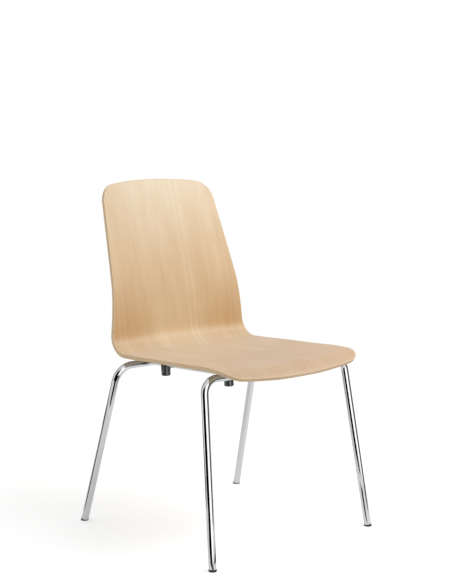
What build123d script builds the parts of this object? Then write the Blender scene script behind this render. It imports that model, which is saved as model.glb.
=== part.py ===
from build123d import *
import os
from math import degrees, radians, sqrt

# A stacking chair: one moulded plywood sheet on a welded and chromed tube frame.
# Millimetres, +Z up. The chair faces -Y, and +X is the sitter's left.
# The origin is on the floor, on the chair's mid-plane, midway along its overall depth.
# A heading is the angle of the sheet above level, looking rearwards.

# Seat shell, along its mid-plane from the front lip to the top of the back
shell_thickness = 10.0
lip_height = 417.3
lip_heading = 43.4
lip_radius = 79.0
seat_front_heading = -4.2
seat_length = 342.0
seat_rear_heading = -0.2
seat_bend_radius = 60.8
back_foot_heading = 80.6
lower_back_length = 176.0
upper_back_heading = 72.0
upper_back_length = 204.0

# Seat shell, across: the rise of each edge, measured over dish_span
dish_span = 400.0
lip_dish = 1.0
seat_dish = 9.2
seat_bend_dish = 6.0
back_dish = 27.6
back_top_dish = 32.2
lip_dish_run = 60.0
rear_dish_run = 148.0
back_dish_run = 116.0

# Seat shell, outline and eased edge
seat_width = 426.4
back_top_width = 344.0
taper_length = 416.0
side_blend_radius = 900.0
top_crown = 20.4
top_corner_radius = 56.0
front_crown = 20.2
front_corner_radius = 52.0
lip_trim_heading = 31.0
edge_round = 2.5
trim_stock = 12.0

# Seat shell, spacing of the cross-sections that it is lofted through
tight_section_pitch = 11.0
broad_section_pitch = 55.0

# Leg tubes: two bent tubes, each two legs and the bar between them
tube_diameter = 18.0
tube_wall = 1.5
front_bar_setback = 87.9
rear_bar_setback = 4.5
front_bar_gap = 0.8
rear_bar_gap = 4.7
front_bend_radius = 35.6
rear_bend_radius = 40.9
front_corner_spread = 441.4
rear_corner_spread = 447.6
front_foot_spread = 500.8
rear_foot_spread = 504.6
front_foot_reach = 64.2
rear_foot_reach = 111.9

# Rails welded between the two bars
rail_diameter = 16.0
rail_wall = 1.5
rail_spacing = 236.0
weld_size = 3.0

# Fixings up through each rail into the shell
front_fixing_inset = 35.0
rear_fixing_inset = 49.0
screw_diameter = 6.0
screw_clearance = 0.25
screw_head_diameter = 10.5
screw_head_height = 3.3
screw_head_round = 2.0
screw_key_width = 4.0
screw_key_depth = 2.0
screw_tip_gap = 1.0
screw_tip_chamfer = 0.8
thread_clearance = 0.05
insert_diameter = 10.0
insert_length = 7.5
insert_recess = 0.6
insert_clearance = 0.05
groove_depth = 0.6
groove_width = 1.0
groove_count = 2
washer_diameter = 12.0
washer_thickness = 1.2

# Stacking buffers: a rubber foot cradles the rail, and two ears clip up its sides
saddle_clearance = 0.05
cradle_rise = 2.0
buffer_top_diameter = 20.0
buffer_drop = 22.0
buffer_foot_diameter = 23.0
buffer_foot_round = 3.0
buffer_floor = 6.0
buffer_pocket_diameter = 13.0
ear_width = 12.0
ear_thickness = 2.0
ear_rise = 4.0
ear_round = 4.5
ear_root = 12.0

# Spacer pads, between the rail and the shell
pad_diameter = 20.0
pad_clearance = 0.05
pad_parting = 0.5

# Foot glides: a collar on the floor, with a ribbed stem inside the leg
glide_height = 4.4
glide_overhang = 0.5
glide_sole_round = 1.0
stem_length = 18.0
stem_gap = 1.0
stem_tip_chamfer = 1.5
rib_count = 3
rib_width = 1.6
rib_clearance = 0.05

# Room that a cutter takes beyond the piece it cuts
overcut = 40.0

sides = {"left": 1, "right": -1}
across = Vector(1, 0, 0)
os.makedirs("parts", exist_ok=True)


def write(piece, name):
    piece.part.label = name
    export_step(piece.part, f"parts/{name}.step")


def ease(share):
    # A smooth step from 0 to 1, level at both ends
    return share * share * (3 - 2 * share)


def heading_vector(heading):
    return Vector(0, 1, 0).rotate(Axis.X, heading)


def mirrored(point):
    return Vector(-point.X, point.Y, point.Z)


# The sitter's face on the mid-plane: lip arc, long shallow arc of the seat, tight bend,
# long shallow arc of the lower back, then straight to the top
lip_turn = seat_front_heading - lip_heading
seat_turn = seat_rear_heading - seat_front_heading
bend_turn = back_foot_heading - seat_rear_heading
lower_back_turn = upper_back_heading - back_foot_heading
with BuildLine(Plane.YZ) as face_line:
    lip_arc = JernArc((0, lip_height), heading_vector(lip_heading), lip_radius, lip_turn)
    seat_arc = JernArc(lip_arc @ 1, lip_arc % 1, seat_length / radians(seat_turn), seat_turn)
    bend_arc = JernArc(seat_arc @ 1, seat_arc % 1, seat_bend_radius, bend_turn)
    lower_back_radius = lower_back_length / radians(-lower_back_turn)
    lower_back_arc = JernArc(bend_arc @ 1, bend_arc % 1, lower_back_radius, lower_back_turn)
    upper_back = Line(lower_back_arc @ 1, lower_back_arc @ 1 + lower_back_arc % 1 * upper_back_length)

# The sheet's rear corner at the top lies its thickness behind the sitter's face
rear_reach = (heading_vector(upper_back_heading - 90) * shell_thickness).Y
overall_depth = (upper_back @ 1).Y + rear_reach
lip_y = -overall_depth / 2

# Distances along the face, from the lip, at which one stretch ends and the next starts
seat_start = lip_arc.length
bend_start = seat_start + seat_arc.length
back_start = bend_start + bend_arc.length
upper_start = back_start + lower_back_arc.length
face_end = upper_start + upper_back_length

# The blank has trim_stock to spare on all sides, which its outline then takes off
with BuildLine(Plane.YZ) as blank_line:
    stock_turn = degrees(trim_stock / lip_radius)
    stock_arc = JernArc(lip_arc @ 0, -(lip_arc % 0), lip_radius, stock_turn, mode=Mode.PRIVATE)
    ThreePointArc(stock_arc @ 1, stock_arc @ 0.5, stock_arc @ 0)
    add(face_line.line)
    Line(upper_back @ 1, upper_back @ 1 + upper_back % 1 * trim_stock)
spine = Wire(blank_line.line.moved(Location((0, lip_y, 0))).edges())


def sheet_plane(distance):
    # Square to the face line: local x runs across the chair, local y towards the sitter
    along = spine.tangent_at(distance + trim_stock, position_mode=PositionMode.LENGTH)
    origin = spine.position_at(distance + trim_stock, position_mode=PositionMode.LENGTH)
    return Plane(origin, x_dir=across, z_dir=-along)


def dish_radius(distance):
    # The dish eases from one depth to the next between these places along the face
    places = [
        (-trim_stock, lip_dish),
        (seat_start + lip_dish_run, seat_dish),
        (bend_start - rear_dish_run, seat_dish),
        (bend_start, seat_bend_dish),
        (back_start + back_dish_run, back_dish),
        (face_end + trim_stock, back_top_dish),
    ]
    depth = back_top_dish
    for (start, start_dish), (end, end_dish) in zip(places, places[1:]):
        if start <= distance < end:
            depth = start_dish + (end_dish - start_dish) * ease((distance - start) / (end - start))
    return ((dish_span / 2) ** 2 + depth**2) / (2 * depth)


# Sections stand closer together round the lip and the bend
stretches = [
    (-trim_stock, 0.0, tight_section_pitch),
    (0.0, seat_start, tight_section_pitch),
    (seat_start, bend_start, broad_section_pitch),
    (bend_start, back_start, tight_section_pitch),
    (back_start, upper_start, broad_section_pitch),
    (upper_start, face_end, broad_section_pitch),
    (face_end, face_end + trim_stock, tight_section_pitch),
]
stations = [-trim_stock]
for start, end, pitch in stretches:
    count = max(1, round((end - start) / pitch))
    stations += [start + (end - start) * step / count for step in range(1, count + 1)]

seat_half = seat_width / 2
top_half = back_top_width / 2
blank_half = seat_half + trim_stock
lip_plane = Plane(sheet_plane(0).origin, x_dir=across, z_dir=heading_vector(lip_trim_heading + 90))
back_plane = Plane(
    sheet_plane(face_end).origin, x_dir=-across, z_dir=heading_vector(upper_back_heading + 90)
)

with BuildPart() as shell_blank:
    for distance in stations:
        face_radius = dish_radius(distance)
        under_radius = face_radius + shell_thickness
        face_rise = face_radius - sqrt(face_radius**2 - blank_half**2)
        under_rise = face_radius - sqrt(under_radius**2 - blank_half**2)
        with BuildSketch(sheet_plane(distance)):
            with BuildLine():
                face = ThreePointArc((-blank_half, face_rise), (0, 0), (blank_half, face_rise))
                under = ThreePointArc(
                    (blank_half, under_rise), (0, -shell_thickness), (-blank_half, under_rise)
                )
                Line(face @ 1, under @ 0)
                Line(under @ 1, face @ 0)
            make_face()
    loft()

    # Outline of the back, seen square to the upper back, with local y running down it.
    # Its sides turn parallel at the bend and run on through the seat.
    with BuildSketch(back_plane) as back_outline:
        with BuildLine():
            top_edge = ThreePointArc((-top_half, top_crown), (0, 0), (top_half, top_crown))
            Polyline(
                top_edge @ 1,
                (seat_half, taper_length),
                (seat_half, 2 * taper_length),
                (-seat_half, 2 * taper_length),
                (-seat_half, taper_length),
                top_edge @ 0,
            )
        make_face()
        for sign in sides.values():
            for corner, radius in (
                ((sign * top_half, top_crown, 0), top_corner_radius),
                ((sign * seat_half, taper_length, 0), side_blend_radius),
            ):
                fillet(back_outline.vertices().sort_by_distance(corner)[0], radius)
    extrude(amount=2 * overall_depth, both=True, mode=Mode.INTERSECT)

    # Outline of the front: a crowned lip between two round corners
    crown_radius = (seat_half**2 + front_crown**2) / (2 * front_crown)
    rim = seat_half + overcut
    rim_depth = crown_radius - sqrt(crown_radius**2 - rim**2)
    with BuildSketch(lip_plane):
        with BuildLine():
            lip_edge = ThreePointArc((-rim, rim_depth), (0, 0), (rim, rim_depth))
            Polyline(lip_edge @ 1, (rim, -overcut), (-rim, -overcut), lip_edge @ 0)
        make_face()
    extrude(amount=overcut, both=True, mode=Mode.SUBTRACT)
    short_edges = shell_blank.edges().filter_by(lambda edge: edge.length < 2 * shell_thickness)
    fillet(short_edges.sort_by(Axis.Y)[:2], front_corner_radius)

    # Ease the long edges of the sitter's face and of the underside
    broad_faces = shell_blank.faces().sort_by(SortBy.AREA)[-2:]
    fillet([edge for broad in broad_faces for edge in broad.outer_wire().edges()], edge_round)


def shell_underside(start, direction):
    # Distance from a point below the shell, along a direction, to its underside
    probe = Edge.make_line(start, start + direction * overall_depth)
    inside = shell_blank.part & probe
    return min((Vector(vertex) - start).length for vertex in inside.vertices())


# The bars lie just under the shell, with their gap measured on the mid-plane: the front one
# set back from the lip, the rear one from where the seat starts to turn up into the back
tube_radius = tube_diameter / 2
up = Vector(0, 0, 1)
bars = {}
for end, bar_y, gap in (
    ("front", lip_y + front_bar_setback, front_bar_gap),
    ("rear", lip_y + (seat_arc @ 1).Y + rear_bar_setback, rear_bar_gap),
):
    on_floor = Vector(0, bar_y, 0)
    bars[end] = on_floor + up * (shell_underside(on_floor, up) - gap - tube_radius)

# Leg tubes, swept hollow along leg, bend, bar, bend and leg, from the left foot to the right
bends = {
    "front": (-front_foot_reach, front_corner_spread, front_foot_spread, front_bend_radius),
    "rear": (rear_foot_reach, rear_corner_spread, rear_foot_spread, rear_bend_radius),
}
leg_ends = {}
for end, (foot_reach, corner_spread, foot_spread, bend_radius) in bends.items():
    foot = Vector(foot_spread / 2, bars[end].Y + foot_reach, 0)
    corner = bars[end] + across * (corner_spread / 2)
    leg_up = (corner - foot).normalized()
    leg_end = foot + leg_up * glide_height
    leg_ends[end, "left"] = Plane(leg_end, z_dir=leg_up)
    leg_ends[end, "right"] = Plane(mirrored(leg_end), z_dir=mirrored(leg_up))
    with BuildLine() as tube_line:
        FilletPolyline(leg_end, corner, mirrored(corner), mirrored(leg_end), radius=bend_radius)
    with BuildPart() as leg_tube:
        with BuildSketch(leg_ends[end, "left"]):
            Circle(tube_radius)
            Circle(tube_radius - tube_wall, mode=Mode.SUBTRACT)
        sweep(path=tube_line.line)
    write(leg_tube, f"{end}_leg_tube")

# Rails, coped onto the bars, with the weld run round each joint and a hole for each screw
rail_radius = rail_diameter / 2
rail_run = (bars["front"] - bars["rear"]).normalized()
rail_up = across.cross(-rail_run)
rail_length = (bars["front"] - bars["rear"]).length
screw_hole = screw_diameter / 2 + screw_clearance
fixing_distances = {"front": rail_length - front_fixing_inset, "rear": rear_fixing_inset}
fixings = {}
for side, sign in sides.items():
    offset = across * (sign * rail_spacing / 2)
    rail_start = Plane(bars["rear"] + offset, x_dir=across, z_dir=rail_run)
    for end, distance in fixing_distances.items():
        origin = rail_start.origin + rail_run * distance
        fixings[end, side] = Plane(origin, x_dir=across, z_dir=rail_up)
    with BuildPart() as rail:
        with BuildSketch(rail_start):
            Circle(rail_radius)
        extrude(amount=rail_length)
        for bar in bars.values():
            with BuildSketch(Plane(bar + offset, z_dir=across)):
                Circle(tube_radius)
            extrude(amount=overcut, both=True)
        fillet(rail.edges().filter_by(GeomType.BSPLINE), weld_size)
        for bar in bars.values():
            with BuildSketch(Plane(bar + offset, z_dir=across)):
                Circle(tube_radius)
            extrude(amount=2 * overcut, both=True, mode=Mode.SUBTRACT)
        with BuildSketch(rail_start):
            Circle(rail_radius - rail_wall)
        extrude(amount=rail_length, mode=Mode.SUBTRACT)
        with Locations(*[fixings[end, side] for end in fixing_distances]):
            Cylinder(screw_hole, 2 * rail_diameter, mode=Mode.SUBTRACT)
    write(rail, f"{side}_rail")

# Heights along each screw, from the rail's axis
buffer_seat = -rail_radius - buffer_floor
buffer_foot = -rail_radius - buffer_drop
ear_foot = -rail_radius - ear_root
pad_foot = ear_rise + pad_parting
washer_under = buffer_seat - washer_thickness
pocket_radius = insert_diameter / 2 + insert_clearance
insert_bases = {
    place: shell_underside(plane.origin, plane.z_dir) + insert_recess for place, plane in fixings.items()
}

# The shell, with a blind pocket for each threaded insert let in from below
with BuildPart() as seat_shell:
    add(shell_blank.part)
    for place, plane in fixings.items():
        with BuildSketch(plane.offset(insert_bases[place] + insert_length)):
            Circle(pocket_radius)
        extrude(amount=-(insert_length + shell_thickness / 2), mode=Mode.SUBTRACT)
write(seat_shell, "seat_shell")

for (end, side), plane in fixings.items():
    insert_base = insert_bases[end, side]
    insert_top = insert_base + insert_length

    # Threaded insert, grooved outside to grip the plywood
    with BuildPart() as insert:
        with BuildSketch(plane.offset(insert_base)):
            Circle(insert_diameter / 2)
            Circle(screw_diameter / 2 + thread_clearance, mode=Mode.SUBTRACT)
        extrude(amount=insert_length)
        for groove in range(1, groove_count + 1):
            groove_middle = insert_base + insert_length * groove / (groove_count + 1)
            with BuildSketch(plane.offset(groove_middle)):
                Circle(insert_diameter / 2 + groove_depth)
                Circle(insert_diameter / 2 - groove_depth, mode=Mode.SUBTRACT)
            extrude(amount=groove_width / 2, both=True, mode=Mode.SUBTRACT)
    write(insert, f"threaded_insert_{end}_{side}")

    # Button-head screw, from under its washer to just short of the insert's top
    with BuildPart() as screw:
        with BuildSketch(plane.offset(washer_under)):
            Circle(screw_head_diameter / 2)
        extrude(amount=-screw_head_height)
        head_rim = screw.edges().filter_by(GeomType.CIRCLE).sort_by(Axis.Z)[0]
        fillet(head_rim, screw_head_round)
        with BuildSketch(plane.offset(washer_under - screw_head_height)):
            RegularPolygon(screw_key_width / 2, 6, major_radius=False)
        extrude(amount=screw_key_depth, mode=Mode.SUBTRACT)
        with BuildSketch(plane.offset(washer_under)):
            Circle(screw_diameter / 2)
        extrude(amount=insert_top - screw_tip_gap - washer_under)
        chamfer(screw.edges().filter_by(GeomType.CIRCLE).sort_by(Axis.Z)[-1], screw_tip_chamfer)
    write(screw, f"fixing_screw_{end}_{side}")

    with BuildPart() as washer:
        with BuildSketch(plane.offset(washer_under)):
            Circle(washer_diameter / 2)
            Circle(screw_hole, mode=Mode.SUBTRACT)
        extrude(amount=washer_thickness)
    write(washer, f"washer_{end}_{side}")

    # Stacking buffer: a flared rubber foot with an ear each side of the rail,
    # and a deep pocket for the screw's head
    with BuildPart() as buffer:
        with BuildSketch(plane.offset(cradle_rise - rail_radius)):
            Circle(buffer_top_diameter / 2)
        with BuildSketch(plane.offset(buffer_foot)):
            Circle(buffer_foot_diameter / 2)
        loft()
        fillet(buffer.edges().filter_by(GeomType.CIRCLE).sort_by(Axis.Z)[0], buffer_foot_round)
        with BuildSketch(Plane(plane.origin, x_dir=-rail_run, z_dir=across)):
            with Locations((0, (ear_rise + ear_foot) / 2)):
                RectangleRounded(ear_width, ear_rise - ear_foot, ear_round)
        extrude(amount=rail_radius + ear_thickness, both=True)
        with BuildSketch(Plane(plane.origin, x_dir=across, z_dir=rail_run)):
            Circle(rail_radius + saddle_clearance)
        extrude(amount=pad_diameter, both=True, mode=Mode.SUBTRACT)
        with BuildSketch(plane):
            Circle(screw_hole)
        extrude(amount=-buffer_drop, mode=Mode.SUBTRACT)
        with BuildSketch(plane.offset(buffer_seat)):
            Circle(buffer_pocket_diameter / 2)
        extrude(amount=-buffer_drop, mode=Mode.SUBTRACT)
    write(buffer, f"stacking_buffer_{end}_{side}")

    # Spacer pad: sits over the rail between the ears, shaped to the underside of the shell
    with BuildPart() as pad:
        with BuildSketch(plane.offset(pad_foot)):
            Circle(pad_diameter / 2)
            Circle(screw_hole, mode=Mode.SUBTRACT)
        extrude(amount=insert_base + shell_thickness / 2 - pad_foot)
        add(shell_blank.part.moved(Location(up * -pad_clearance)), mode=Mode.SUBTRACT)
        with BuildSketch(Plane(plane.origin, x_dir=across, z_dir=rail_run)):
            Circle(rail_radius + saddle_clearance)
        extrude(amount=pad_diameter, both=True, mode=Mode.SUBTRACT)
    write(pad, f"spacer_pad_{end}_{side}")

# Foot glides: the collar closes the leg's end and is cut flat at the floor
bore_radius = tube_radius - tube_wall
for (end, side), plane in leg_ends.items():
    with BuildPart() as glide:
        with BuildSketch(plane):
            Circle(tube_radius + glide_overhang)
        extrude(amount=-tube_diameter)
        split(bisect_by=Plane.XY, keep=Keep.TOP)
        fillet(glide.edges().sort_by(Axis.Z)[0], glide_sole_round)
        with BuildSketch(plane):
            Circle(bore_radius - stem_gap)
        extrude(amount=stem_length)
        chamfer(glide.edges().sort_by(Axis.Z)[-1], stem_tip_chamfer)
        for rib in range(1, rib_count + 1):
            with BuildSketch(plane.offset(stem_length * rib / (rib_count + 1))):
                Circle(bore_radius - rib_clearance)
            extrude(amount=rib_width / 2, both=True)
    write(glide, f"foot_glide_{end}_{side}")
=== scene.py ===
import bpy
import math
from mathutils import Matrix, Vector


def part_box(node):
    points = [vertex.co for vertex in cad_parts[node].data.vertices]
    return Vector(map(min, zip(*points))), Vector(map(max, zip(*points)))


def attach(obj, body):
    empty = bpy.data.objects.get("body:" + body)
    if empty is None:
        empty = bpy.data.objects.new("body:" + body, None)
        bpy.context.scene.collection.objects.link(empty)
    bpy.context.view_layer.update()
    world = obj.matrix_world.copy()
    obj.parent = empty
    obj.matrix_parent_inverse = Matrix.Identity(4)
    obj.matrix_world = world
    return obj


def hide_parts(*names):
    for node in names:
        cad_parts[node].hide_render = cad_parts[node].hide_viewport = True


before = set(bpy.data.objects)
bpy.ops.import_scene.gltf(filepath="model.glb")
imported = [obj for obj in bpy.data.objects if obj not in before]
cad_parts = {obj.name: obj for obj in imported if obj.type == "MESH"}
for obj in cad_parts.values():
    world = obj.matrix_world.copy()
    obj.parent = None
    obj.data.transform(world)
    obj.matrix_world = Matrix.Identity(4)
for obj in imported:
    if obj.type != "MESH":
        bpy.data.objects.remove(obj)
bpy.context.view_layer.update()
scene = bpy.context.scene
scene.view_settings.view_transform = "Standard"
mm = 0.001
print("frame loaded:", len(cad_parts), "nodes")


# colours are written as sRGB hex and turned to the linear values that the shaders take
def linear(hexColour):
    channels = [int(hexColour[i:i + 2], 16) / 255 for i in (1, 3, 5)]
    lifted = [c / 12.92 if c <= 0.04045 else ((c + 0.055) / 1.055) ** 2.4 for c in channels]
    return (*lifted, 1.0)


# inputs maps a socket's name or number to a value, or to the socket that feeds it
def addNode(tree, kind, inputs=None, **settings):
    node = tree.nodes.new(kind)
    for name, value in settings.items():
        setattr(node, name, value)
    for name, value in (inputs or {}).items():
        if isinstance(value, bpy.types.NodeSocket):
            tree.links.new(value, node.inputs[name])
        else:
            node.inputs[name].default_value = value
    return node


def setStops(ramp, stops):
    while len(ramp.elements) < len(stops):
        ramp.elements.new(0.5)
    for element, (place, colour) in zip(ramp.elements, stops):
        element.position = place
        element.color = colour


def newObject(name, data):
    thing = bpy.data.objects.new(name, data)
    scene.collection.objects.link(thing)
    return thing


def newMaterial(name):
    material = bpy.data.materials.new(name)
    material.use_nodes = True
    tree = material.node_tree
    tree.nodes.clear()
    shader = addNode(tree, "ShaderNodeBsdfPrincipled")
    addNode(tree, "ShaderNodeOutputMaterial", {"Surface": shader.outputs[0]})
    return material, tree, shader


# shows this socket on the surface in the place of what newMaterial put there
def showInstead(tree, socket):
    output = next(node for node in tree.nodes if node.type == "OUTPUT_MATERIAL")
    tree.links.new(socket, output.inputs["Surface"])


# a Geometry Nodes group with named sizes going in and one mesh coming out
def newTree(name, sizes):
    tree = bpy.data.node_groups.new(name, "GeometryNodeTree")
    tree.interface.new_socket("Geometry", in_out="INPUT", socket_type="NodeSocketGeometry")
    for label, kind in sizes.items():
        tree.interface.new_socket(label, in_out="INPUT", socket_type="NodeSocket" + kind)
    tree.interface.new_socket("Geometry", in_out="OUTPUT", socket_type="NodeSocketGeometry")
    return tree, addNode(tree, "NodeGroupInput").outputs


def closeTree(tree, geometry, material):
    realized = addNode(tree, "GeometryNodeRealizeInstances", {"Geometry": geometry})
    painted = addNode(tree, "GeometryNodeSetMaterial",
                      {"Geometry": realized.outputs[0], "Material": material})
    addNode(tree, "NodeGroupOutput", {"Geometry": painted.outputs[0]})


# runs a tree on a start mesh and keeps the result as a plain mesh
def growPiece(name, tree, startMesh, sizes):
    start = newObject(name + "Start", startMesh)
    modifier = start.modifiers.new(tree.name, "NODES")
    modifier.node_group = tree
    for item in tree.interface.items_tree:
        if item.in_out == "INPUT" and item.name in sizes:
            modifier[item.identifier] = sizes[item.name]
    grown = start.evaluated_get(bpy.context.evaluated_depsgraph_get())
    piece = newObject(name, bpy.data.meshes.new_from_object(grown))
    bpy.data.objects.remove(start)
    return piece


cameraValues = {
    "aim": (0.0, -0.0188, 0.5783),
    "distance": 3.1706,
    "azimuth": -40.72,      # from straight ahead of the chair, towards the sitter's right
    "elevation": 7.69,
    "lens": 80.6,
    "reach": 50.0,          # the farthest that it sees, in metres
}


def placeCamera(values):
    azimuth, elevation = math.radians(values["azimuth"]), math.radians(values["elevation"])
    back = Vector((math.sin(azimuth) * math.cos(elevation),
                   -math.cos(azimuth) * math.cos(elevation), math.sin(elevation)))
    camera = newObject("camera", bpy.data.cameras.new("camera"))
    camera.data.lens = values["lens"]
    camera.data.clip_end = values["reach"]
    camera.location = Vector(values["aim"]) + back * values["distance"]
    camera.rotation_mode = "QUATERNION"
    camera.rotation_quaternion = (-back).to_track_quat("-Z", "Y")
    scene.camera = camera


placeCamera(cameraValues)
print("camera placed")

# beech veneer: flat-cut leaves, sanded and lacquered satin. The eye gets faint arched growth rings
# round the heart of the leaf, fine straight lines towards its sides, and the short dark flecks that
# mark out beech. A grain is the size of a pattern across and along the leaf, in mm.
veneerValues = {
    # the leaf's tone at its sides and at its middle, by length from the lip in mm: it pales along
    # the seat, deepens at the bend and pales again to the top. This is painted light: painted sheen
    # on the seat's rear and the upper back, painted shade at the lip and in the bend
    "sheenAndShadeTones": [
        (0.0, "#cbac8a", "#cbac8a"),
        (60.0, "#d3b492", "#d3b492"),
        (200.0, "#d6b892", "#d4b691"),
        (330.0, "#ddc3a1", "#dfc6a6"),
        (430.0, "#dcc4a3", "#e0cbae"),
        (478.0, "#d4ae7e", "#dec096"),
        (660.0, "#e1c49e", "#dfc29c"),
        (873.0, "#e8d5b8", "#ecdcc1"),
    ],
    # the sides carry painted shade and the middle a paler, painted lit tone, blended over this span
    "sideShadeTurn": (40.0, 150.0),      # mm across: the middle's tone ends, and the sides' tone is whole
    "shadedBackTone": "#d7c5ac",          # the underside is painted greyer than the face, painted shade for its reflection in the tubes
    "backDepth": 0.5,               # and shows from this far under the face
    "leafShift": (0.0, 31.0, 57.0),     # the pattern moves by this times depth, to another leaf
    "heartAcross": -62.0,           # middle of the arches, in mm across the leaf
    "heartDepths": {"lip": 74.0, "top": 3.0},   # how far under the leaf the heart runs
    "swayGrain": (150.0, 420.0),    # the tree's own bends
    "sway": 26.0,                   # how far they push the rings
    "ringWidth": 8.5,               # coarser than the real 3 mm, so that the rings show
    "ringTint": "#efe6d8",          # what the darkest rings and lines do to the leaf's tone
    "fadeGrain": (48.0, 150.0),     # the rings fade in and out over this size
    "fadeLimits": (0.4, 0.62),      # noise at which they are faintest and whole
    "fadeMost": 0.5,
    "cloudGrain": (42.0, 190.0),    # slow changes of tone
    "lineGrain": (2.2, 130.0),      # pore lines, coarser than the real 0.3 mm for the same reason
    "shares": {"rings": 0.26, "clouds": 0.46, "lines": 0.28},
    "figureLimits": (0.34, 0.66),   # where the three together are darkest and palest
    "fleckGrain": (3.4, 15.0),      # one cell holds one fleck at most
    "fleckLimits": (0.08, 0.26),    # a fleck's rim begins and ends, from the middle of its cell
    "fleckChoice": (0.62, 0.95),    # a cell's random number at which its fleck begins and is whole
    "fleckMost": 0.7,
    "fleckTint": "#b7967a",
    "roughness": (0.42, 0.5),
    "bump": 0.06,
    "bumpHeight": 0.3,
    "ior": 1.5,
    "sheen": 0.3,
    "sheenRoughness": 0.5,
}


def makeBeechVeneer(values, length):
    material, tree, shader = newMaterial("satinLacqueredBeechVeneer")
    sheet = addNode(tree, "ShaderNodeUVMap", uv_map="sheet").outputs[0]
    depth = addNode(tree, "ShaderNodeAttribute", attribute_name="depth").outputs["Fac"]
    leaf = addNode(tree, "ShaderNodeCombineXYZ", {"X": 0.0, "Y": depth, "Z": depth})
    leaf = addNode(tree, "ShaderNodeVectorMath", {0: leaf.outputs[0], 1: values["leafShift"], 2: sheet},
                   operation="MULTIPLY_ADD").outputs[0]

    def onLeaf(grain):
        scale = (1 / (grain[0] * mm), 1 / (grain[1] * mm), 1)
        return addNode(tree, "ShaderNodeMapping", {"Vector": leaf, "Scale": scale}).outputs[0]

    # distance from the heart, with the tree's sway, gives the ring that the knife met
    sway = addNode(tree, "ShaderNodeTexNoise",
                   {"Vector": onLeaf(values["swayGrain"]), "Scale": 1.0, "Detail": 2.0})
    sway = addNode(tree, "ShaderNodeVectorMath", {0: sway.outputs["Color"], 1: (0.5, 0.5, 0.5)},
                   operation="SUBTRACT")
    swayed = addNode(tree, "ShaderNodeVectorMath",
                     {0: sway.outputs[0], 1: (values["sway"] * mm,) * 3, 2: sheet},
                     operation="MULTIPLY_ADD")
    swayed = addNode(tree, "ShaderNodeSeparateXYZ", {0: swayed.outputs[0]}).outputs
    across = addNode(tree, "ShaderNodeMath", {0: swayed["X"], 1: values["heartAcross"] * mm},
                     operation="SUBTRACT")
    under = addNode(tree, "ShaderNodeMapRange",
                    {"Value": swayed["Y"], "From Max": length * mm,
                     "To Min": values["heartDepths"]["lip"] * mm,
                     "To Max": values["heartDepths"]["top"] * mm}, clamp=False)
    under = addNode(tree, "ShaderNodeMath", {0: under.outputs[0], 1: swayed["Z"]}, operation="ADD")
    toHeart = addNode(tree, "ShaderNodeCombineXYZ", {"X": across.outputs[0], "Y": under.outputs[0]})
    toHeart = addNode(tree, "ShaderNodeVectorMath", {0: toHeart.outputs[0]}, operation="LENGTH")
    rings = addNode(tree, "ShaderNodeTexNoise",
                    {"W": toHeart.outputs["Value"], "Scale": 1 / (values["ringWidth"] * mm), "Detail": 1.5},
                    noise_dimensions="1D")
    clouds = addNode(tree, "ShaderNodeTexNoise",
                     {"Vector": onLeaf(values["cloudGrain"]), "Scale": 1.0, "Detail": 2.0})
    lines = addNode(tree, "ShaderNodeTexNoise",
                    {"Vector": onLeaf(values["lineGrain"]), "Scale": 1.0, "Detail": 3.0, "Roughness": 0.6})
    fade = addNode(tree, "ShaderNodeTexNoise",
                   {"Vector": onLeaf(values["fadeGrain"]), "Scale": 1.0, "Detail": 1.0})
    fade = addNode(tree, "ShaderNodeMapRange",
                   {"Value": fade.outputs[0], "From Min": values["fadeLimits"][0],
                    "From Max": values["fadeLimits"][1], "To Min": values["fadeMost"], "To Max": 0.0})
    # a noise is 0.5 on average, so rings that are mixed with 0.5 fade away
    faded = addNode(tree, "ShaderNodeMix", {"Factor": fade.outputs[0], "A": rings.outputs[0], "B": 0.5})
    shares = values["shares"]
    figure = addNode(tree, "ShaderNodeMath", {0: faded.outputs[0], 1: shares["rings"]}, operation="MULTIPLY")
    figure = addNode(tree, "ShaderNodeMath",
                     {0: clouds.outputs[0], 1: shares["clouds"], 2: figure.outputs[0]},
                     operation="MULTIPLY_ADD")
    figure = addNode(tree, "ShaderNodeMath",
                     {0: lines.outputs[0], 1: shares["lines"], 2: figure.outputs[0]},
                     operation="MULTIPLY_ADD")
    figure = addNode(tree, "ShaderNodeMapRange",
                     {"Value": figure.outputs[0], "From Min": values["figureLimits"][0],
                      "From Max": values["figureLimits"][1], "To Min": 1.0, "To Max": 0.0})
    onSheet = addNode(tree, "ShaderNodeSeparateXYZ", {0: sheet}).outputs
    along = addNode(tree, "ShaderNodeMapRange", {"Value": onSheet["Y"], "From Max": length * mm})
    # these two ramps paint light into the leaf: painted sheen on the seat's rear and towards the top, painted
    # shade at the lip and in the bend
    shadedSideTone = addNode(tree, "ShaderNodeValToRGB", {"Fac": along.outputs[0]})
    litMiddleTone = addNode(tree, "ShaderNodeValToRGB", {"Fac": along.outputs[0]})
    setStops(shadedSideTone.color_ramp, [(at / length, linear(side)) for at, side, middle in values["sheenAndShadeTones"]])
    setStops(litMiddleTone.color_ramp, [(at / length, linear(middle)) for at, side, middle in values["sheenAndShadeTones"]])
    # painted shade towards the sides, painted light in the middle
    sideShadeShare = addNode(tree, "ShaderNodeMath", {0: onSheet["X"]}, operation="ABSOLUTE")
    sideShadeShare = addNode(tree, "ShaderNodeMapRange",
                        {"Value": sideShadeShare.outputs[0], "From Min": values["sideShadeTurn"][0] * mm,
                         "From Max": values["sideShadeTurn"][1] * mm}, interpolation_type="SMOOTHSTEP")
    tone = addNode(tree, "ShaderNodeMix",
                   {"Factor": sideShadeShare.outputs[0], "A": litMiddleTone.outputs[0], "B": shadedSideTone.outputs[0]},
                   data_type="RGBA")
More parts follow.
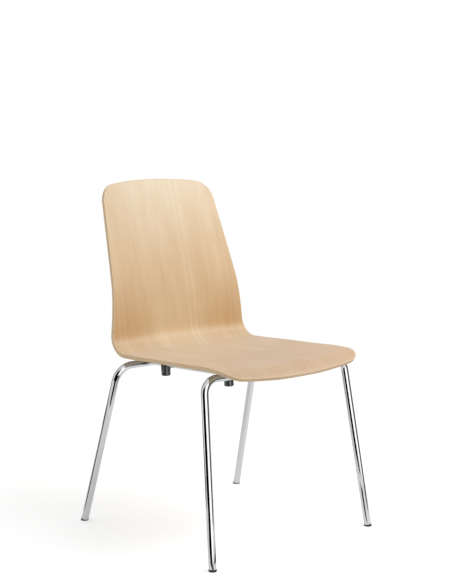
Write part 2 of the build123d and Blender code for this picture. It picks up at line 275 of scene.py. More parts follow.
    # the underside gets a greyer tone: painted shade
    below = addNode(tree, "ShaderNodeMath", {0: depth, 1: values["backDepth"] * mm},
                    operation="GREATER_THAN")
    tone = addNode(tree, "ShaderNodeMix",
                   {"Factor": below.outputs[0], "A": tone.outputs["Result"], "B": linear(values["shadedBackTone"])},
                   data_type="RGBA")
    wood = addNode(tree, "ShaderNodeMix",
                   {"Factor": figure.outputs[0], "A": tone.outputs["Result"],
                    "B": linear(values["ringTint"])}, data_type="RGBA", blend_type="MULTIPLY")
    # a fleck is the middle of a cell, and only some cells have one
    cells = addNode(tree, "ShaderNodeTexVoronoi", {"Vector": onLeaf(values["fleckGrain"]), "Scale": 1.0})
    heart = addNode(tree, "ShaderNodeMapRange",
                    {"Value": cells.outputs["Distance"], "From Min": values["fleckLimits"][0],
                     "From Max": values["fleckLimits"][1], "To Min": 1.0, "To Max": 0.0})
    chosen = addNode(tree, "ShaderNodeMapRange",
                     {"Value": cells.outputs["Color"], "From Min": values["fleckChoice"][0],
                      "From Max": values["fleckChoice"][1], "To Max": values["fleckMost"]})
    fleck = addNode(tree, "ShaderNodeMath", {0: heart.outputs[0], 1: chosen.outputs[0]},
                    operation="MULTIPLY")
    flecked = addNode(tree, "ShaderNodeMix",
                      {"Factor": fleck.outputs[0], "A": wood.outputs["Result"],
                       "B": linear(values["fleckTint"])}, data_type="RGBA", blend_type="MULTIPLY")
    tree.links.new(flecked.outputs["Result"], shader.inputs["Base Color"])
    roughness = addNode(tree, "ShaderNodeMapRange",
                        {"Value": lines.outputs[0], "To Min": values["roughness"][0],
                         "To Max": values["roughness"][1]})
    tree.links.new(roughness.outputs[0], shader.inputs["Roughness"])
    bump = addNode(tree, "ShaderNodeBump",
                   {"Height": lines.outputs[0], "Strength": values["bump"],
                    "Distance": values["bumpHeight"] * mm})
    tree.links.new(bump.outputs[0], shader.inputs["Normal"])
    shader.inputs["IOR"].default_value = values["ior"]
    shader.inputs["Sheen Weight"].default_value = values["sheen"]
    shader.inputs["Sheen Roughness"].default_value = values["sheenRoughness"]
    return material


# cut edge of beech plywood: sanded and lacquered. The eye gets thin layers that turn from long
# grain to darker end grain and back, with a hair of glue between.
plyEdgeValues = {
    "layers": 7,
    "long": "#e8cda9",
    "end": "#dcbb92",
    "glue": "#c09d76",
    "glueWidth": 0.12,
    "speckleSize": 2.38,    # clusters of pores, coarser than the real ones of under 1 mm
    "speckle": (0.9, 1.06),     # how dark and how pale they make the wood
    "bump": 0.15,
    "bumpHeight": 0.3,
    "roughness": 0.55,
    "ior": 1.5,
}


def makePlyEdge(values, thickness):
    material, tree, shader = newMaterial("sandedBeechPlyEdge")
    depth = addNode(tree, "ShaderNodeAttribute", attribute_name="depth").outputs["Fac"]
    place = addNode(tree, "ShaderNodeTexCoord").outputs["Object"]
    layer = addNode(tree, "ShaderNodeMath", {0: depth, 1: values["layers"] / (thickness * mm)},
                    operation="MULTIPLY")
    turn = addNode(tree, "ShaderNodeMath", {0: layer.outputs[0], 1: 2.0}, operation="MODULO")
    crossed = addNode(tree, "ShaderNodeMath", {0: turn.outputs[0], 1: 1.0}, operation="GREATER_THAN")
    wood = addNode(tree, "ShaderNodeMix",
                   {"Factor": crossed.outputs[0], "A": linear(values["long"]), "B": linear(values["end"])},
                   data_type="RGBA")
    within = addNode(tree, "ShaderNodeMath", {0: layer.outputs[0]}, operation="FRACT")
    joint = addNode(tree, "ShaderNodeMath", {0: within.outputs[0], 1: 0.5}, operation="SUBTRACT")
    joint = addNode(tree, "ShaderNodeMath", {0: joint.outputs[0]}, operation="ABSOLUTE")
    jointShare = 0.5 - values["glueWidth"] * values["layers"] / thickness / 2
    joint = addNode(tree, "ShaderNodeMath", {0: joint.outputs[0], 1: jointShare}, operation="GREATER_THAN")
    glued = addNode(tree, "ShaderNodeMix",
                    {"Factor": joint.outputs[0], "A": wood.outputs["Result"], "B": linear(values["glue"])},
                    data_type="RGBA")
    speckle = addNode(tree, "ShaderNodeTexNoise",
                      {"Vector": place, "Scale": 1 / (values["speckleSize"] * mm), "Detail": 3.0})
    speckled = addNode(tree, "ShaderNodeMapRange",
                       {"Value": speckle.outputs[0], "From Min": 0.3, "From Max": 0.7,
                        "To Min": values["speckle"][0], "To Max": values["speckle"][1]})
    shaded = addNode(tree, "ShaderNodeVectorMath",
                     {0: glued.outputs["Result"], "Scale": speckled.outputs[0]}, operation="SCALE")
    tree.links.new(shaded.outputs[0], shader.inputs["Base Color"])
    bump = addNode(tree, "ShaderNodeBump",
                   {"Height": speckle.outputs[0], "Strength": values["bump"],
                    "Distance": values["bumpHeight"] * mm})
    tree.links.new(bump.outputs[0], shader.inputs["Normal"])
    shader.inputs["Roughness"].default_value = values["roughness"]
    shader.inputs["IOR"].default_value = values["ior"]
    return material


# bright chrome: steel tube polished, nickelled and chromed. The eye gets a clear mirror, a little
# cool, with the faint waviness that polishing and bending leave in the tube.
chromeValues = {
    "colour": "#d0d2d4",
    "roughness": (0.04, 0.072),
    "hazeSize": 16.7,       # patches where the polish is a little duller
    "wave": 0.5,
    "waveLength": 22.0,
    "waveHeight": 0.02,
}


def makeChrome(values):
    material, tree, shader = newMaterial("brightChromeOnPolishedTube")
    place = addNode(tree, "ShaderNodeTexCoord").outputs["Object"]
    waves = addNode(tree, "ShaderNodeTexNoise",
                    {"Vector": place, "Scale": 1 / (values["waveLength"] * mm), "Detail": 1.0})
    haze = addNode(tree, "ShaderNodeTexNoise",
                   {"Vector": place, "Scale": 1 / (values["hazeSize"] * mm), "Detail": 4.0})
    roughness = addNode(tree, "ShaderNodeMapRange",
                        {"Value": haze.outputs[0], "From Min": 0.35, "From Max": 0.75,
                         "To Min": values["roughness"][0], "To Max": values["roughness"][1]})
    bump = addNode(tree, "ShaderNodeBump",
                   {"Height": waves.outputs[0], "Strength": values["wave"],
                    "Distance": values["waveHeight"] * mm})
    tree.links.new(roughness.outputs[0], shader.inputs["Roughness"])
    tree.links.new(bump.outputs[0], shader.inputs["Normal"])
    shader.inputs["Base Color"].default_value = linear(values["colour"])
    shader.inputs["Metallic"].default_value = 1.0
    return material


# moulded black rubber or nylon, which differ only in these values: the eye gets a dark satin with
# the mould's fine grit and a little dust
mouldedValues = {
    "mouldedBufferRubber": {
        "colour": "#393b3a", "roughness": (0.16, 0.28), "shine": 1.0, "gritSize": 0.5, "gritHeight": 0.03,
    },
    "mouldedGlideNylon": {
        "colour": "#1d1e1f", "roughness": (0.38, 0.5), "shine": 0.5, "gritSize": 0.35, "gritHeight": 0.02,
    },
}
# what both have: the size of the dust's patches in mm, and how dark and how pale they are
mouldedShared = {"dustSize": 11.1, "dust": (0.9, 1.35), "bump": 0.6, "ior": 1.52}


def makeMoulded(name, values, shared):
    material, tree, shader = newMaterial(name)
    place = addNode(tree, "ShaderNodeTexCoord").outputs["Object"]
    grit = addNode(tree, "ShaderNodeTexNoise",
                   {"Vector": place, "Scale": 1 / (values["gritSize"] * mm), "Detail": 2.0})
    dust = addNode(tree, "ShaderNodeTexNoise",
                   {"Vector": place, "Scale": 1 / (shared["dustSize"] * mm), "Detail": 3.0})
    colour = addNode(tree, "ShaderNodeMapRange",
                     {"Value": dust.outputs[0], "From Min": 0.3, "From Max": 0.8,
                      "To Min": shared["dust"][0], "To Max": shared["dust"][1]})
    shaded = addNode(tree, "ShaderNodeVectorMath",
                     {0: linear(values["colour"])[:3], "Scale": colour.outputs[0]}, operation="SCALE")
    tree.links.new(shaded.outputs[0], shader.inputs["Base Color"])
    roughness = addNode(tree, "ShaderNodeMapRange",
                        {"Value": dust.outputs[0], "To Min": values["roughness"][0],
                         "To Max": values["roughness"][1]})
    tree.links.new(roughness.outputs[0], shader.inputs["Roughness"])
    bump = addNode(tree, "ShaderNodeBump",
                   {"Height": grit.outputs[0], "Strength": shared["bump"],
                    "Distance": values["gritHeight"] * mm})
    tree.links.new(bump.outputs[0], shader.inputs["Normal"])
    shader.inputs["IOR"].default_value = shared["ior"]
    shader.inputs["Specular IOR Level"].default_value = values["shine"]
    return material


# bright zinc plate on turned steel: a soft grey metal with patchy gloss
zincValues = {"colour": "#b9bdc2", "roughness": (0.22, 0.47), "patchSize": 3.0}


def makeZincPlate(values):
    material, tree, shader = newMaterial("zincPlatedTurnedSteel")
    place = addNode(tree, "ShaderNodeTexCoord").outputs["Object"]
    patches = addNode(tree, "ShaderNodeTexNoise",
                      {"Vector": place, "Scale": 1 / (values["patchSize"] * mm), "Detail": 3.0})
    roughness = addNode(tree, "ShaderNodeMapRange",
                        {"Value": patches.outputs[0], "To Min": values["roughness"][0],
                         "To Max": values["roughness"][1]})
    tree.links.new(roughness.outputs[0], shader.inputs["Roughness"])
    shader.inputs["Base Color"].default_value = linear(values["colour"])
    shader.inputs["Metallic"].default_value = 1.0
    return material


# the moulded shell: sizes in mm, headings in degrees above level looking rearwards
sheetValues = {
    "thickness": 10.0,
    "lipHeight": 417.3,     # of the face, above the floor
    "lipRadius": 79.0,
    "bendRadius": 60.8,     # where the seat turns up into the back
    "lengths": {"seat": 342.0, "lowerBack": 176.0, "upperBack": 204.0},
    "headings": {"lip": 43.4, "seatFront": -4.2, "seatRear": -0.2, "backFoot": 80.6, "backTop": 72.0},
    "width": 426.4,
    "topWidth": 344.0,      # where the top's crown ends
    "taperLength": 416.0,   # down the back, from the top to the full width
    "sideBlend": 900.0,     # radius between the taper and the straight sides
    "topCrown": 20.4,       # rise of the top edge, and radius of its corners
    "topCorner": 56.0,
    "frontCrown": 20.2,
    "frontCorner": 52.0,
    "frontTrimHeading": 31.0,       # the lip is cut off square to this
    "edgeRound": 2.5,
    "rimInset": 4.5,        # the rows and columns of the faces end this far inside the outline
    "dishSpan": 400.0,      # the dishes are hollows over this width
    "dishes": {"lip": 1.0, "seat": 9.2, "bend": 6.0, "back": 27.6, "top": 32.2},
    # the dish eases over these lengths: past the lip arc, before the bend and past it
    "dishRuns": {"lip": 60.0, "rear": 148.0, "back": 116.0},
    "trimmings": 12.0,      # the sheet was moulded this much longer, then trimmed
}
sheetSteps = {"crown": 18, "corner": 8, "side": 150, "round": 4}
nearlyStraight = 1e-9       # a turn in radians that counts as none
bowFade = 4                 # how fast the bows of the crowns die out in the rows of the faces


def headingVector(heading):
    return Vector((0, math.cos(math.radians(heading)), math.sin(math.radians(heading))))


# the face from lip to top: lip arc, seat, bend, lower back, upper back
def sheetStretches(values):
    headings, lengths = values["headings"], values["lengths"]
    lipArc = values["lipRadius"] * math.radians(headings["lip"] - headings["seatFront"])
    bendArc = values["bendRadius"] * math.radians(headings["backFoot"] - headings["seatRear"])
    return [
        (lipArc, headings["lip"], headings["seatFront"]),
        (lengths["seat"], headings["seatFront"], headings["seatRear"]),
        (bendArc, headings["seatRear"], headings["backFoot"]),
        (lengths["lowerBack"], headings["backFoot"], headings["backTop"]),
        (lengths["upperBack"], headings["backTop"], headings["backTop"]),
    ]


stretches = sheetStretches(sheetValues)
sheetLength = sum(stretch[0] for stretch in stretches)


# point and heading on the face, at a length from the lip; each stretch is one arc or a straight
def facePoint(values, length):
    y, z, heading = 0.0, values["lipHeight"], stretches[0][1]
    for stretch, startHeading, endHeading in stretches:
        run = min(length, stretch)
        heading = startHeading + (endHeading - startHeading) * run / stretch
        start, turn = math.radians(startHeading), math.radians(heading - startHeading)
        if abs(turn) < nearlyStraight:
            y += run * math.cos(start)
            z += run * math.sin(start)
        else:
            y += run / turn * (math.sin(start + turn) - math.sin(start))
            z += run / turn * (math.cos(start) - math.cos(start + turn))
        length -= run
        if length <= 0:
            break
    return Vector((0, y, z)), heading


# one end of the outline: a crown that meets a side line in a round corner, as points
# (across, inwards) from the middle of the crown to the end of the corner
def endOutline(halfWidth, crown, radius, sideRun, steps):
    crownRadius = (halfWidth ** 2 + crown ** 2) / (2 * crown)
    along = Vector(sideRun).normalized()
    inwards = Vector((-along.y, along.x))
    fromCrown = Vector((halfWidth, crown - crownRadius)) + inwards * radius
    half = fromCrown.dot(along)
    slide = -half - math.sqrt(half ** 2 - fromCrown.length_squared + (crownRadius - radius) ** 2)
    fromCrown += along * slide
    first = math.atan2(fromCrown.y, fromCrown.x)
    last = math.atan2(-inwards.y, -inwards.x)
    points = []
    for step in range(steps["crown"]):
        angle = -math.pi / 2 + (first + math.pi / 2) * step / steps["crown"]
        points.append(Vector((math.cos(angle), math.sin(angle))) * crownRadius + Vector((0, crownRadius)))
    for step in range(2 * steps["corner"] + 1):
        angle = first + (last - first) * step / (2 * steps["corner"])
        turned = Vector((math.cos(angle), math.sin(angle))) * radius
        points.append(fromCrown + turned + Vector((0, crownRadius)))
    return points


# the whole outline at one depth under the face, as flat points (across, length from the lip).
# The sheet is trimmed square to the upper back and square to the trim plane of the lip, so the
# outline shifts a little with depth round the lip.
def sheetOutline(values, steps, depth):
    halfWidth, topHalf = values["width"] / 2, values["topWidth"] / 2
    taper = (halfWidth - topHalf, values["taperLength"] - values["topCrown"])
    slope = taper[0] / taper[1]
    blendRun = values["sideBlend"] * math.tan(math.atan(slope) / 2)
    topPoint, topHeading = facePoint(values, sheetLength)
    downBack = -headingVector(topHeading)

    def halfWidthAt(length):
        point, heading = facePoint(values, length)
        down = (point - headingVector(heading + 90) * depth - topPoint).dot(downBack)
        if down > values["taperLength"] + blendRun:
            return halfWidth
        if down > values["taperLength"] - blendRun:
            short = values["taperLength"] + blendRun - down
            return halfWidth - values["sideBlend"] + math.sqrt(values["sideBlend"] ** 2 - short ** 2)
        return topHalf + (down - values["topCrown"]) * slope

    lipHeading, trim, radius = values["headings"]["lip"], values["frontTrimHeading"], values["lipRadius"]

    def lipLength(inwards):
        reach = radius * math.sin(math.radians(lipHeading - trim)) - inwards
        heading = trim + math.degrees(math.asin(reach / (radius - depth)))
        return radius * math.radians(lipHeading - heading)

    top = endOutline(topHalf, values["topCrown"], values["topCorner"], taper, steps)
    top = [Vector((point.x, sheetLength - point.y)) for point in top]
    front = endOutline(halfWidth, values["frontCrown"], values["frontCorner"], (0, 1), steps)
    front = [Vector((point.x, lipLength(point.y))) for point in reversed(front)]
    start, run = top[-1].y, front[0].y - top[-1].y
    lengths = [start + run * step / steps["side"] for step in range(1, steps["side"])]
    side = [Vector((halfWidthAt(length), length)) for length in lengths]
    half = top + side + front
    return half + [Vector((-point.x, point.y)) for point in reversed(half[1:-1])]


def insetOutline(outline, distance):
    moved = []
    for i, point in enumerate(outline):
        run = (outline[(i + 1) % len(outline)] - outline[i - 1]).normalized()
        moved.append(point + Vector((run.y, -run.x)) * distance)
    return moved


# the flat blank: a face, a rounded edge and an underside, with x across, y along and z down into
# the sheet. Rows and columns run to the middles of the round corners.
def flatBlank(values, steps):
    radius, thickness = values["edgeRound"], values["thickness"]
    rims = [(values["rimInset"], 0.0)]
    for step in range(steps["round"] + 1):
        angle = math.pi / 2 * step / steps["round"]
        rims.append((radius * (1 - math.sin(angle)), radius * (1 - math.cos(angle))))
    rims.append((0.0, thickness / 2))
    rims += [(inset, thickness - depth) for inset, depth in reversed(rims[:-1])]
    points, faces = [], []
    for inset, depth in rims:
        outline = insetOutline(sheetOutline(values, steps, depth), inset)
        points += [(point.x, point.y, -depth) for point in outline]
    loop = len(outline)
    for rim in range(len(rims) - 1):
        for i in range(loop):
            inner, outer, following = rim * loop + i, (rim + 1) * loop + i, (i + 1) % loop
            faces.append((inner, rim * loop + following, (rim + 1) * loop + following, outer))
    edgeFaces = len(faces)
    columns = 2 * (steps["crown"] + steps["corner"])
    rows = loop // 2 - columns

    def onRim(rim, index):
        return rim * loop + index % loop

    for rim, depth in ((0, 0.0), (len(rims) - 1, thickness)):
        grid = []
        for row in range(rows + 1):
            down = row / rows
            right = onRim(rim, columns // 2 + row)
            line = [onRim(rim, loop - columns // 2 - row)]
            for column in range(1, columns):
                if row == 0:
                    line.append(onRim(rim, column - columns // 2))
                elif row == rows:
                    line.append(onRim(rim, columns // 2 + rows + columns - column))
                else:
                    topRim = points[onRim(rim, column - columns // 2)]
                    lowRim = points[onRim(rim, columns // 2 + rows + columns - column)]
                    topEnd = points[onRim(rim, columns // 2)]
                    lowEnd = points[onRim(rim, columns // 2 + rows)]
                    share = topRim[0] / topEnd[0] * (1 - down) + lowRim[0] / lowEnd[0] * down
                    topBow = (topRim[1] - topEnd[1]) * (1 - down) ** bowFade
                    bow = topBow + (lowRim[1] - lowEnd[1]) * down ** bowFade
                    points.append((points[right][0] * share, points[right][1] + bow, -depth))
                    line.append(len(points) - 1)
            grid.append(line + [right])
        for upper, lower in zip(grid, grid[1:]):
            for i in range(columns):
                quad = (lower[i], lower[i + 1], upper[i + 1], upper[i])
                faces.append(quad if rim == 0 else quad[::-1])
    mesh = bpy.data.meshes.new("flatBlank")
    mesh.from_pydata([[value * mm for value in point] for point in points], [], faces)
    edge = mesh.attributes.new("cutEdge", "BOOLEAN", "FACE")
    # the first and last rim strips still belong to the faces
    edge.data.foreach_set("value", [loop <= i < edgeFaces - loop for i in range(len(faces))])
    return mesh


# bends the flat blank along the centreline and dishes it: at each length the face is an arc
# across the chair, whose depth eases from one place's dish to the next
def makeBendTree():
    lengths = ("Dish span", "Lip dish", "Seat dish", "Bend dish", "Back dish", "Top dish",
               "Lip at", "Seat dish from", "Seat dish to", "Bend at", "Back dish at", "Top dish at")
    inputs = {"Centreline": "Object", **dict.fromkeys(lengths, "Float")}
    tree, given = newTree("bendSheet", {**inputs, "Veneer": "Material", "Cut edge": "Material"})
    flat = addNode(tree, "GeometryNodeInputPosition").outputs[0]
    parts = addNode(tree, "ShaderNodeSeparateXYZ", {0: flat}).outputs
    depth = addNode(tree, "ShaderNodeMath", {0: parts["Z"], 1: -1.0}, operation="MULTIPLY").outputs[0]
    mapped = addNode(tree, "GeometryNodeStoreNamedAttribute",
                     {"Geometry": given["Geometry"], "Name": "sheet", "Value": flat},
                     data_type="FLOAT2", domain="CORNER")
    mapped = addNode(tree, "GeometryNodeStoreNamedAttribute",
                     {"Geometry": mapped.outputs[0], "Name": "depth", "Value": depth},
                     data_type="FLOAT", domain="POINT")
    line = addNode(tree, "GeometryNodeObjectInfo", {"Object": given["Centreline"]})
    sample = addNode(tree, "GeometryNodeSampleCurve",
                     {"Curves": line.outputs["Geometry"], "Length": parts["Y"]}, mode="LENGTH")
    towards = addNode(tree, "ShaderNodeVectorMath", {0: (1, 0, 0), 1: sample.outputs["Tangent"]},
                      operation="CROSS_PRODUCT")
    towards = addNode(tree, "ShaderNodeVectorMath", {0: towards.outputs[0]}, operation="NORMALIZE")
    dish = given["Lip dish"]
    for start, end, before, after in (
            ("Lip at", "Seat dish from", "Lip dish", "Seat dish"),
            ("Seat dish to", "Bend at", "Seat dish", "Bend dish"),
            ("Bend at", "Back dish at", "Bend dish", "Back dish"),
            ("Back dish at", "Top dish at", "Back dish", "Top dish")):
        change = addNode(tree, "ShaderNodeMath", {0: given[after], 1: given[before]}, operation="SUBTRACT")
        step = addNode(tree, "ShaderNodeMapRange",
                       {"Value": parts["Y"], "From Min": given[start], "From Max": given[end],
                        "To Max": change.outputs[0]}, interpolation_type="SMOOTHSTEP")
        dish = addNode(tree, "ShaderNodeMath", {0: dish, 1: step.outputs[0]}, operation="ADD").outputs[0]
    # radius of the arc, from its rise over half the span
    halfSpan = addNode(tree, "ShaderNodeMath", {0: given["Dish span"], 1: 0.5}, operation="MULTIPLY")
    squares = addNode(tree, "ShaderNodeMath", {0: halfSpan.outputs[0], 1: 2.0}, operation="POWER")
    squares = addNode(tree, "ShaderNodeMath", {0: dish, 1: dish, 2: squares.outputs[0]},
                      operation="MULTIPLY_ADD")
    double = addNode(tree, "ShaderNodeMath", {0: dish, 1: 2.0}, operation="MULTIPLY")
    radius = addNode(tree, "ShaderNodeMath", {0: squares.outputs[0], 1: double.outputs[0]},
                     operation="DIVIDE")
    outer = addNode(tree, "ShaderNodeMath", {0: radius.outputs[0], 1: depth}, operation="ADD")
    outer = addNode(tree, "ShaderNodeMath", {0: outer.outputs[0], 1: 2.0}, operation="POWER")
    across = addNode(tree, "ShaderNodeMath", {0: parts["X"], 1: 2.0}, operation="POWER")
    level = addNode(tree, "ShaderNodeMath", {0: outer.outputs[0], 1: across.outputs[0]},
                    operation="SUBTRACT")
    level = addNode(tree, "ShaderNodeMath", {0: level.outputs[0]}, operation="SQRT")
    rise = addNode(tree, "ShaderNodeMath", {0: radius.outputs[0], 1: level.outputs[0]},
                   operation="SUBTRACT")
    lifted = addNode(tree, "ShaderNodeVectorMath",
                     {0: towards.outputs[0], "Scale": rise.outputs[0]}, operation="SCALE")
    placed = addNode(tree, "ShaderNodeVectorMath",
                     {0: sample.outputs["Position"], 1: lifted.outputs[0]}, operation="ADD")
    sideways = addNode(tree, "ShaderNodeCombineXYZ", {"X": parts["X"]})
    placed = addNode(tree, "ShaderNodeVectorMath", {0: placed.outputs[0], 1: sideways.outputs[0]},
                     operation="ADD")
    bent = addNode(tree, "GeometryNodeSetPosition",
                   {"Geometry": mapped.outputs[0], "Position": placed.outputs[0]})
    smooth = addNode(tree, "GeometryNodeSetShadeSmooth", {"Geometry": bent.outputs[0], "Shade Smooth": True})
    realized = addNode(tree, "GeometryNodeRealizeInstances", {"Geometry": smooth.outputs[0]})
    faced = addNode(tree, "GeometryNodeSetMaterial",
                    {"Geometry": realized.outputs[0], "Material": given["Veneer"]})
    isEdge = addNode(tree, "GeometryNodeInputNamedAttribute", {"Name": "cutEdge"}, data_type="BOOLEAN")
    edged = addNode(tree, "GeometryNodeSetMaterial",
                    {"Geometry": faced.outputs[0], "Selection": isEdge.outputs[0],
                     "Material": given["Cut edge"]})
    addNode(tree, "NodeGroupOutput", {"Geometry": edged.outputs[0]})
    return tree


def makeShell(values, steps):
    topPoint, topHeading = facePoint(values, sheetLength)
    rearReach = headingVector(topHeading - 90).y * values["thickness"]
    lipY = -(topPoint.y + rearReach) / 2        # the shell is centred front to back
    count = int(sheetLength)
    curve = bpy.data.curves.new("shellCentreline", "CURVE")
    curve.dimensions = "3D"
    spline = curve.splines.new("POLY")
    spline.points.add(count)
    for i, point in enumerate(spline.points):
        place = facePoint(values, sheetLength * i / count)[0] + Vector((0, lipY, 0))
        point.co = (*(place * mm), 1.0)
    centreline = newObject("shellCentreline", curve)
    seatStart = stretches[0][0]
    bendStart = seatStart + stretches[1][0]
    backStart = bendStart + stretches[2][0]
    dishes, runs, spare = values["dishes"], values["dishRuns"], values["trimmings"]
    sizes = {
        "Centreline": centreline,
        "Dish span": values["dishSpan"] * mm,
        "Lip dish": dishes["lip"] * mm,
        "Seat dish": dishes["seat"] * mm,
        "Bend dish": dishes["bend"] * mm,
        "Back dish": dishes["back"] * mm,
        "Top dish": dishes["top"] * mm,
        "Lip at": -spare * mm,
        "Seat dish from": (seatStart + runs["lip"]) * mm,
        "Seat dish to": (bendStart - runs["rear"]) * mm,
        "Bend at": bendStart * mm,
        "Back dish at": (backStart + runs["back"]) * mm,
        "Top dish at": (sheetLength + spare) * mm,
        "Veneer": makeBeechVeneer(veneerValues, sheetLength),
        "Cut edge": makePlyEdge(plyEdgeValues, values["thickness"]),
    }
    shell = growPiece("moulded_seat_shell", makeBendTree(), flatBlank(values, steps), sizes)
    bpy.data.objects.remove(centreline)
    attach(shell, "root")
    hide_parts("seat_shell")
    return shell


shell = makeShell(sheetValues, sheetSteps)
print("shell moulded:", len(shell.data.polygons), "faces")

# the leg tubes: each path runs from foot to foot over the bar, with both bends filleted
legValues = {
    "front": {"cornerSpread": 441.4, "footSpread": 500.8, "footReach": 64.2, "bend": 35.6},
    "rear": {"cornerSpread": 447.6, "footSpread": 504.6, "footReach": 111.9, "bend": 40.9},
    "diameter": 18.0,
    "glideHeight": 4.4,     # the tubes end this far up each leg, in their glides
    "bendSteps": 40,
    "roundSteps": 64,
}
footward = {"front": -1, "rear": 1}     # along y, from each frame's bar to its feet


def makeTubeTree(values):
    tree, given = newTree("bendTube", {"Radius": "Float", "Bend radius": "Float", "Material": "Material"})
    path = addNode(tree, "GeometryNodeMeshToCurve", {"Mesh": given["Geometry"]})
    bent = addNode(tree, "GeometryNodeFilletCurve",
                   {"Curve": path.outputs[0], "Count": values["bendSteps"],
                    "Radius": given["Bend radius"]}, mode="POLY")
    profile = addNode(tree, "GeometryNodeCurvePrimitiveCircle",
                      {"Resolution": values["roundSteps"], "Radius": given["Radius"]})
    tube = addNode(tree, "GeometryNodeCurveToMesh",
                   {"Curve": bent.outputs[0], "Profile Curve": profile.outputs[0], "Fill Caps": True})
    smooth = addNode(tree, "GeometryNodeSetShadeSmooth", {"Geometry": tube.outputs[0], "Shade Smooth": True})
    # the flat end caps have many corners, the wall's faces four
    corners = addNode(tree, "GeometryNodeInputMeshFaceNeighbors")
    isCap = addNode(tree, "FunctionNodeCompare", {2: corners.outputs["Vertex Count"], 3: 4},
                    data_type="INT", operation="GREATER_THAN")
    crisp = addNode(tree, "GeometryNodeSetShadeSmooth",
                    {"Geometry": smooth.outputs[0], "Selection": isCap.outputs[0], "Shade Smooth": False})
    closeTree(tree, crisp.outputs[0], given["Material"])
    return tree


def pathMesh(name, points):
    mesh = bpy.data.meshes.new(name)
    mesh.from_pydata(points, [(i, i + 1) for i in range(len(points) - 1)], [])
    return mesh


chrome = makeChrome(chromeValues)
tubeTree = makeTubeTree(legValues)
flip = Vector((-1, 1, 1))
for end, direction in footward.items():
    values, radius = legValues[end], legValues["diameter"] / 2 * mm
    low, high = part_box(end + "_leg_tube")
    barY = high.y - radius if direction < 0 else low.y + radius
    corner = Vector((values["cornerSpread"] / 2 * mm, barY, high.z - radius))
    foot = Vector((values["footSpread"] / 2 * mm, barY + direction * values["footReach"] * mm, 0))
    legUp = (corner - foot).normalized()
    legEnd = foot + legUp * legValues["glideHeight"] * mm
    path = pathMesh(end + "Path", [legEnd, corner, corner * flip, legEnd * flip])
    sizes = {"Radius": radius, "Bend radius": values["bend"] * mm, "Material": chrome}
    tube = growPiece(end + "_leg_tube_polished", tubeTree, path, sizes)
    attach(tube, "root")
    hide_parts(end + "_leg_tube")
print("leg tubes bent")

# the small pieces keep their CAD shapes and get their real finishes
moulded = {name: makeMoulded(name, values, mouldedShared) for name, values in mouldedValues.items()}
finishes = {
    "stacking_buffer": moulded["mouldedBufferRubber"],
    "spacer_pad": moulded["mouldedBufferRubber"],
    "foot_glide": moulded["mouldedGlideNylon"],
    "fixing_screw": makeZincPlate(zincValues),
    "_rail": chrome,
}
finishes["washer"] = finishes["threaded_insert"] = finishes["fixing_screw"]
for name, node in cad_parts.items():
    for family, material in finishes.items():
        if family in name:
            node.data.materials.clear()
            node.data.materials.append(material)
print("finishes given")

# a round of white floor in soft light from all sides, with one softbox ahead of the chair on its left
stageValues = {
    "floor": "#e6e6e6",
    "floorRoughness": 0.9,
    "floorRadius": 2.2,
    "floorCorners": 90,
    "floorLift": 0.42,      # brings the lit floor up to white where the camera sees it
    "floorMirrored": 0.6,   # share of that lift that bright metal sees
    "lightAhead": 0.5,      # the soft light ahead, where the softbox adds to it
    "lightBehind": 0.85,
    "lightTurn": 0.6,       # part of the direction along y at which each is whole
    "boxPlace": (0.75, -0.9, 1.72),
    "boxAim": (0.0, 0.2, 0.76),
    "boxWidth": 1.8,
    "boxHeight": 0.45,
    "boxPower": 19.0,
    # bright metal mirrors panels round the studio, as (azimuth, level) with the azimuth in degrees
    # from straight ahead of the chair towards its left, and a ceiling over them
    "panels": [
        (-180, 0.25), (-152, 0.2), (-132, 1.2), (-108, 1.2), (-102, 0.0), (-37, 0.0), (-32, 1.7),
        (17, 1.7), (26, 0.12), (75, 0.15), (100, 0.6), (130, 0.5), (160, 0.3),
    ],
    "ceiling": 0.9,
    "ceilingRise": (0.5, 0.85),     # upward part of the direction where it begins and is whole
}
# cards on the floor, which give the tubes their stripes: how bright each one is, and its corners
cardValues = {
    "blackCard": (0.0, [
        (-0.43, -0.26), (-0.42, -0.41), (-0.33, -0.53), (-0.28, -0.95), (-0.95, -2.2),
        (-6.0, -6.0), (-6.0, -0.12), (-1.5, -0.14), (-0.9, -0.12),
    ]),
    "footCard": (0.0, [(-0.15, -0.26), (0.22, -0.29), (0.05, -0.46), (-0.14, -0.68)]),
    "greyCard": (0.1, [
        (0.45, -0.6), (0.5, -1.3), (1.9, -4.0), (5.0, -3.0), (5.0, -1.2), (1.5, -0.6),
    ]),
    # a dim card where the chair's shadow falls behind it on the left: a painted shadow that only the tubes
    # mirror
    "rearCard": (0.15, [
        (-0.33, 0.26), (-0.6, 0.27), (-1.3, 0.5), (-2.0, 1.5), (-1.5, 2.1), (-0.8, 1.1), (-0.45, 0.55),
    ]),
}
cardLift = 0.0005           # over the floor
white = (1.0, 1.0, 1.0, 1.0)


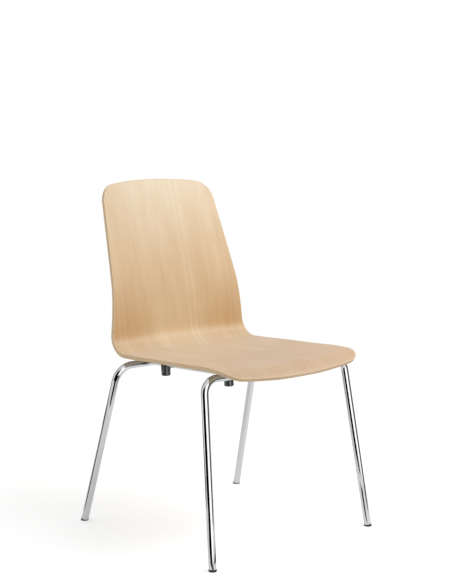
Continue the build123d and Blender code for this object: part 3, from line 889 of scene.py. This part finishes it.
def makeFloor(values):
    mesh = bpy.data.meshes.new("floor")
    turns = [2 * math.pi * corner / values["floorCorners"] for corner in range(values["floorCorners"])]
    rim = [Vector((math.cos(turn), math.sin(turn), 0)) * values["floorRadius"] for turn in turns]
    mesh.from_pydata(rim, [], [range(len(rim))])
    floor = newObject("floor", mesh)
    material, tree, shader = newMaterial("plainWhiteFloor")
    shader.inputs["Base Color"].default_value = linear(values["floor"])
    shader.inputs["Roughness"].default_value = values["floorRoughness"]
    shader.inputs["Specular IOR Level"].default_value = 0.0
    ray = addNode(tree, "ShaderNodeLightPath").outputs
    seen = addNode(tree, "ShaderNodeMath", {0: ray["Is Camera Ray"], 1: ray["Is Transmission Ray"]},
                   operation="MAXIMUM")
    seen = addNode(tree, "ShaderNodeMath",
                   {0: ray["Is Glossy Ray"], 1: values["floorMirrored"], 2: seen.outputs[0]},
                   operation="MULTIPLY_ADD")
    lift = addNode(tree, "ShaderNodeMath", {0: seen.outputs[0], 1: values["floorLift"]}, operation="MULTIPLY")
    glow = addNode(tree, "ShaderNodeEmission", {"Color": white, "Strength": lift.outputs[0]})
    both = addNode(tree, "ShaderNodeAddShader", {0: shader.outputs[0], 1: glow.outputs[0]})
    showInstead(tree, both.outputs[0])
    mesh.materials.append(material)


# a card lies just over the floor, and only shiny surfaces see it
def makeCard(name, level, corners):
    mesh = bpy.data.meshes.new(name)
    mesh.from_pydata([(x, y, cardLift) for x, y in corners], [], [range(len(corners))])
    card = newObject(name, mesh)
    material, tree, shader = newMaterial(name)
    glow = addNode(tree, "ShaderNodeEmission", {"Color": white, "Strength": level})
    showInstead(tree, glow.outputs[0])
    tree.nodes.remove(shader)
    mesh.materials.append(material)
    card.visible_camera = False
    card.visible_diffuse = False
    card.visible_shadow = False
    card.visible_transmission = False


def makeWorld(values):
    world = bpy.data.worlds.new("studio")
    scene.world = world
    world.use_nodes = True
    tree = world.node_tree
    tree.nodes.clear()
    ray = addNode(tree, "ShaderNodeLightPath").outputs
    direction = addNode(tree, "ShaderNodeTexCoord").outputs["Generated"]
    axes = addNode(tree, "ShaderNodeSeparateXYZ", {0: direction}).outputs
    ahead = addNode(tree, "ShaderNodeMath", {0: axes["Y"], 1: -1.0}, operation="MULTIPLY")
    azimuth = addNode(tree, "ShaderNodeMath", {0: axes["X"], 1: ahead.outputs[0]}, operation="ARCTAN2")
    turn = addNode(tree, "ShaderNodeMapRange",
                   {"Value": azimuth.outputs[0], "From Min": -math.pi, "From Max": math.pi})
    panels = addNode(tree, "ShaderNodeValToRGB", {"Fac": turn.outputs[0]})
    stops = [((degree + 180) / 360, (level, level, level, 1.0)) for degree, level in values["panels"]]
    setStops(panels.color_ramp, stops)
    overhead = addNode(tree, "ShaderNodeMapRange",
                       {"Value": axes["Z"], "From Min": values["ceilingRise"][0],
                        "From Max": values["ceilingRise"][1]}, interpolation_type="SMOOTHSTEP")
    studio = addNode(tree, "ShaderNodeMix",
                     {"Factor": overhead.outputs[0], "A": panels.outputs[0], "B": values["ceiling"]})
    glossy = addNode(tree, "ShaderNodeMath", {0: ray["Is Glossy Ray"], 1: ray["Is Transmission Ray"]},
                     operation="MAXIMUM")
    soft = addNode(tree, "ShaderNodeMapRange",
                   {"Value": axes["Y"], "From Min": -values["lightTurn"], "From Max": values["lightTurn"],
                    "To Min": values["lightAhead"], "To Max": values["lightBehind"]})
    level = addNode(tree, "ShaderNodeMix",
                    {"Factor": glossy.outputs[0], "A": soft.outputs[0], "B": studio.outputs["Result"]})
    level = addNode(tree, "ShaderNodeMix",
                    {"Factor": ray["Is Camera Ray"], "A": level.outputs["Result"], "B": 1.0})
    background = addNode(tree, "ShaderNodeBackground",
                         {"Color": white, "Strength": level.outputs["Result"]})
    addNode(tree, "ShaderNodeOutputWorld", {"Surface": background.outputs[0]})


def makeSoftbox(values):
    light = bpy.data.lights.new("softbox", "AREA")
    light.shape = "RECTANGLE"
    light.size, light.size_y = values["boxWidth"], values["boxHeight"]
    light.energy = values["boxPower"]
    softbox = newObject("softbox", light)
    softbox.location = values["boxPlace"]
    towards = Vector(values["boxAim"]) - Vector(values["boxPlace"])
    softbox.rotation_euler = towards.to_track_quat("-Z", "Y").to_euler()
    softbox.visible_camera = False


makeFloor(stageValues)
for cardName, (cardLevel, cardCorners) in cardValues.items():
    makeCard(cardName, cardLevel, cardCorners)
makeWorld(stageValues)
makeSoftbox(stageValues)
print("stage lit")
